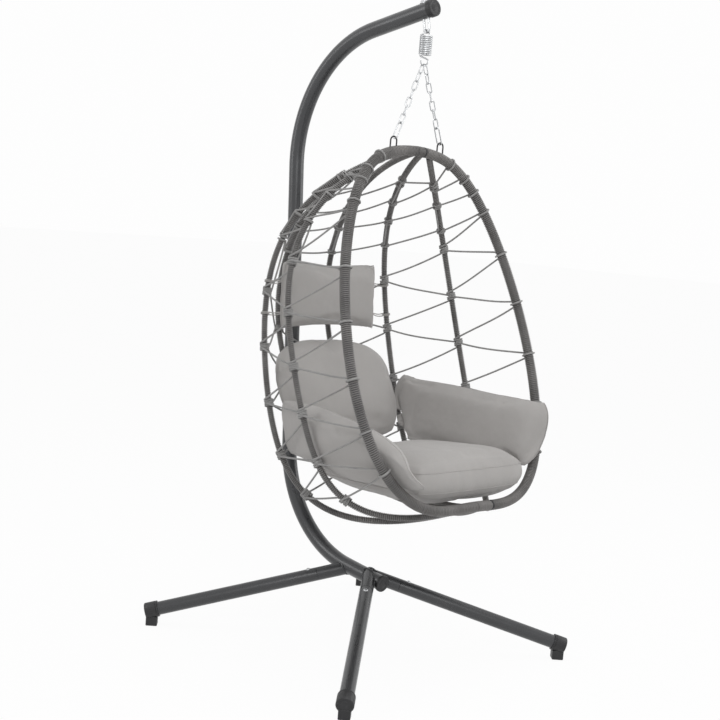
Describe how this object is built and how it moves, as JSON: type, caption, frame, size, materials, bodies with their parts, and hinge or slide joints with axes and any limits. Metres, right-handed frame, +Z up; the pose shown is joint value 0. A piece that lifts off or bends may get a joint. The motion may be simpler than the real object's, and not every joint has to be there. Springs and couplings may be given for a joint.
{
  "type": "hanging egg chair",
  "caption": "Hanging egg chair: rope-laced rattan basket with grey cushions, hung by chains and a spring from a curved tube pole on a cross base",
  "frame": {"origin": "middle of the footprint at floor level, under the feet", "axes": "+Z is up, -Y is the way the chair faces, +X is to the right of someone looking at the chair's back from the front; metres"},
  "size_m": [0.9854, 0.9691, 1.992],
  "materials": {
    "powder_coat": "smooth charcoal powder coat on steel tube",
    "black_plastic": "black moulded plastic",
    "zinc_plate": "bright zinc plated steel wire",
    "grey_rattan": "dark grey round plastic rattan wound over a steel tube",
    "grey_rope": "light grey braided cord",
    "grey_cloth": "plain light warm grey woven polyester"
  },
  "bodies": {
    "stand": {"foot_front_left": "black_plastic", "foot_front_right": "black_plastic", "foot_rear_left": "black_plastic", "foot_rear_right": "black_plastic", "leg_front_left": "powder_coat", "leg_front_right": "powder_coat", "leg_rear_left": "powder_coat", "leg_rear_right": "powder_coat", "leg_screw_front_left": "zinc_plate", "leg_screw_front_right": "zinc_plate", "leg_screw_rear_left": "zinc_plate", "leg_screw_rear_right": "zinc_plate", "pole": "powder_coat", "pole_cap_bottom": "black_plastic", "pole_cap_top": "black_plastic", "u_bolt": "zinc_plate", "u_bolt_nut_front": "zinc_plate", "u_bolt_nut_rear": "zinc_plate"},
    "top_hook": {"spring_top_hook": "zinc_plate", "spring": "zinc_plate"},
    "bottom_hook": {"spring_bottom_hook": "zinc_plate"},
    "first_links": {"chain_left_1": "zinc_plate", "chain_right_1": "zinc_plate"},
    "chains": {"chain_left_2": "zinc_plate", "chain_left_3": "zinc_plate", "chain_left_4": "zinc_plate", "chain_left_5": "zinc_plate", "chain_left_6": "zinc_plate", "chain_left_7": "zinc_plate", "chain_left_long": "zinc_plate", "chain_right_2": "zinc_plate", "chain_right_3": "zinc_plate", "chain_right_4": "zinc_plate", "chain_right_5": "zinc_plate", "chain_right_6": "zinc_plate", "chain_right_7": "zinc_plate", "chain_right_long": "zinc_plate"},
    "basket": {"cushion_arm_left": "grey_cloth", "cushion_arm_right": "grey_cloth", "cushion_back": "grey_cloth", "cushion_head": "grey_cloth", "cushion_seat": "grey_cloth", "rib_back_left": "grey_rattan", "rib_back_right": "grey_rattan", "rib_front_left": "grey_rattan", "rib_front_right": "grey_rattan", "rib_middle_left": "grey_rattan", "rib_middle_right": "grey_rattan", "rim_left": "grey_rattan", "rim_right": "grey_rattan", "rim_sleeve_bottom": "black_plastic", "rim_sleeve_top": "black_plastic", "rope_back": "grey_rope", "rope_mouth_left": "grey_rope", "rope_mouth_right": "grey_rope", "rope_rear_left": "grey_rope", "rope_rear_right": "grey_rope", "rope_side_left": "grey_rope", "rope_side_right": "grey_rope"}
  },
  "joints": [
    {"name": "swing_sideways", "type": "hinge", "parent": "stand", "child": "top_hook", "pos_m": [0, -0.095, 1.8885], "axis": [0, 1, 0], "range_deg": [-12, 12]},
    {"name": "spring_bounce", "type": "slide", "parent": "top_hook", "child": "bottom_hook", "axis": [0, 0, -1], "range_m": [0, 0.04], "stiffness_N_per_m": 15000, "springref_m": -0.01279, "deforming": ["spring"]},
    {"name": "swivel", "type": "hinge", "parent": "bottom_hook", "child": "first_links", "pos_m": [0, -0.095, 1.79], "axis": [0, 0, 1], "range_deg": [-15, 15]},
    {"name": "swing_fore_aft", "type": "hinge", "parent": "first_links", "child": "chains", "pos_m": [0, -0.095, 1.7726], "axis": [1, 0, 0], "range_deg": [-15, 1.5]},
    {"name": "basket_tilt", "type": "hinge", "parent": "chains", "child": "basket", "pos_m": [0, -0.095, 1.573], "axis": [1, 0, 0], "range_deg": [-9, 2]}
  ]
}
